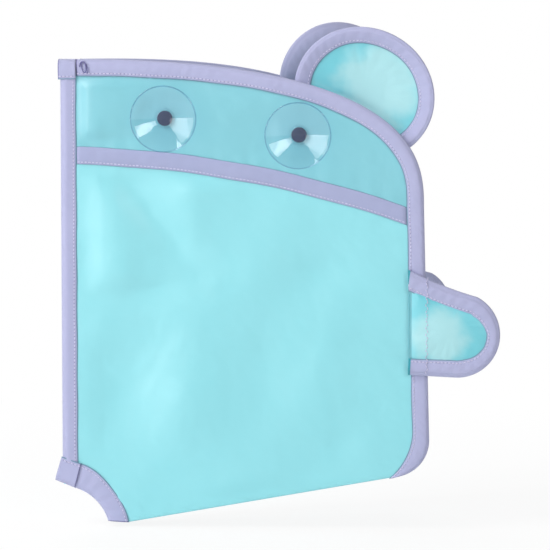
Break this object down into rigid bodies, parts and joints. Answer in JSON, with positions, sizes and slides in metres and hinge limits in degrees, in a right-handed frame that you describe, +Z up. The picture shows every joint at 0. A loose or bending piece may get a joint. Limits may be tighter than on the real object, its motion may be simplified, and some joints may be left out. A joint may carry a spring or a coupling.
{
  "type": "bath toy organizer",
  "caption": "Fabric corner organizer for bath toys: two pocketed halves with round ears and arms fold about a bound corner seam and hang on clear suction cups.",
  "frame": {"origin": "on the wall plane that the left half's suction cups press on, at the outer edge of the corner seam and at the height of the inner cups", "axes": "+Z up along the corner seam, +X along the left half's wall away from the corner, +Y from that wall towards the tub"},
  "size_m": [0.3234, 0.1806, 0.3633],
  "materials": {
    "aqua_cloth": "smooth coated polyester, slightly shiny",
    "lilac_tape": "woven polyester binding tape, matt",
    "clear_vinyl": "clear soft vinyl",
    "violet_stud": "dark violet moulded plastic"
  },
  "bodies": {
    "left_half": {"corner_seam_binding": "lilac_tape", "seam_top_tab": "lilac_tape", "seam_bottom_tab": "lilac_tape", "left_header_panel": "aqua_cloth", "left_pocket_sheet": "aqua_cloth", "left_seam_band": "lilac_tape", "left_edge_binding": "lilac_tape", "left_notch_binding": "lilac_tape", "left_mouth_binding": "lilac_tape"},
    "right_half": {"right_header_panel": "aqua_cloth", "right_pocket_sheet": "aqua_cloth", "right_seam_band": "lilac_tape", "right_edge_binding": "lilac_tape", "right_notch_binding": "lilac_tape", "right_mouth_binding": "lilac_tape"},
    "left_ear": {"left_ear_panel": "aqua_cloth", "left_ear_binding": "lilac_tape"},
    "right_ear": {"right_ear_panel": "aqua_cloth", "right_ear_binding": "lilac_tape"},
    "left_arm": {"left_arm_panel": "aqua_cloth", "left_arm_binding": "lilac_tape"},
    "right_arm": {"right_arm_panel": "aqua_cloth", "right_arm_binding": "lilac_tape"},
    "left_inner_suction": {"left_inner_cup": "clear_vinyl", "left_inner_stud": "violet_stud"},
    "left_outer_suction": {"left_outer_cup": "clear_vinyl", "left_outer_stud": "violet_stud"},
    "right_inner_suction": {"right_inner_cup": "clear_vinyl", "right_inner_stud": "violet_stud"},
    "right_outer_suction": {"right_outer_cup": "clear_vinyl", "right_outer_stud": "violet_stud"}
  },
  "joints": [
    {"name": "corner_fold", "type": "hinge", "parent": "left_half", "child": "right_half", "pos_m": [0.0122, 0.0201, 0], "axis": [0, 0, 1], "range_deg": [-15, 149]},
    {"name": "left_ear_bend", "type": "hinge", "parent": "left_half", "child": "left_ear", "pos_m": [0.21063, 0.0146, 0.00055], "axis": [-0.8903, 0, 0.4554], "range_deg": [0, 18], "stiffness_Nm_per_rad": 0.03},
    {"name": "right_ear_bend", "type": "hinge", "parent": "right_half", "child": "right_ear", "pos_m": [0.18527, 0.11733, 0.00055], "axis": [0.7631, 0.4585, -0.4554], "range_deg": [0, 18], "stiffness_Nm_per_rad": 0.03},
    {"name": "left_arm_bend", "type": "hinge", "parent": "left_half", "child": "left_arm", "pos_m": [0.267, 0.0096, -0.1458], "axis": [0, 0, 1], "range_deg": [0, 35], "stiffness_Nm_per_rad": 0.03},
    {"name": "right_arm_bend", "type": "hinge", "parent": "right_half", "child": "right_arm", "pos_m": [0.23102, 0.15065, -0.1458], "axis": [0, 0, -1], "range_deg": [0, 35], "stiffness_Nm_per_rad": 0.03},
    {"name": "left_inner_cup_turn", "type": "hinge", "parent": "left_half", "child": "left_inner_suction", "pos_m": [0.0764, 0, 0], "axis": [0, -1, 0], "continuous": true},
    {"name": "left_outer_cup_turn", "type": "hinge", "parent": "left_half", "child": "left_outer_suction", "pos_m": [0.1733, 0, -0.0113], "axis": [0, -1, 0], "continuous": true},
    {"name": "right_inner_cup_turn", "type": "hinge", "parent": "right_half", "child": "right_inner_suction", "pos_m": [0.0627, 0.06071, 0], "axis": [-0.515, 0.8572, 0], "continuous": true},
    {"name": "right_outer_cup_turn", "type": "hinge", "parent": "right_half", "child": "right_outer_suction", "pos_m": [0.14576, 0.11062, -0.0113], "axis": [-0.515, 0.8572, 0], "continuous": true}
  ]
}
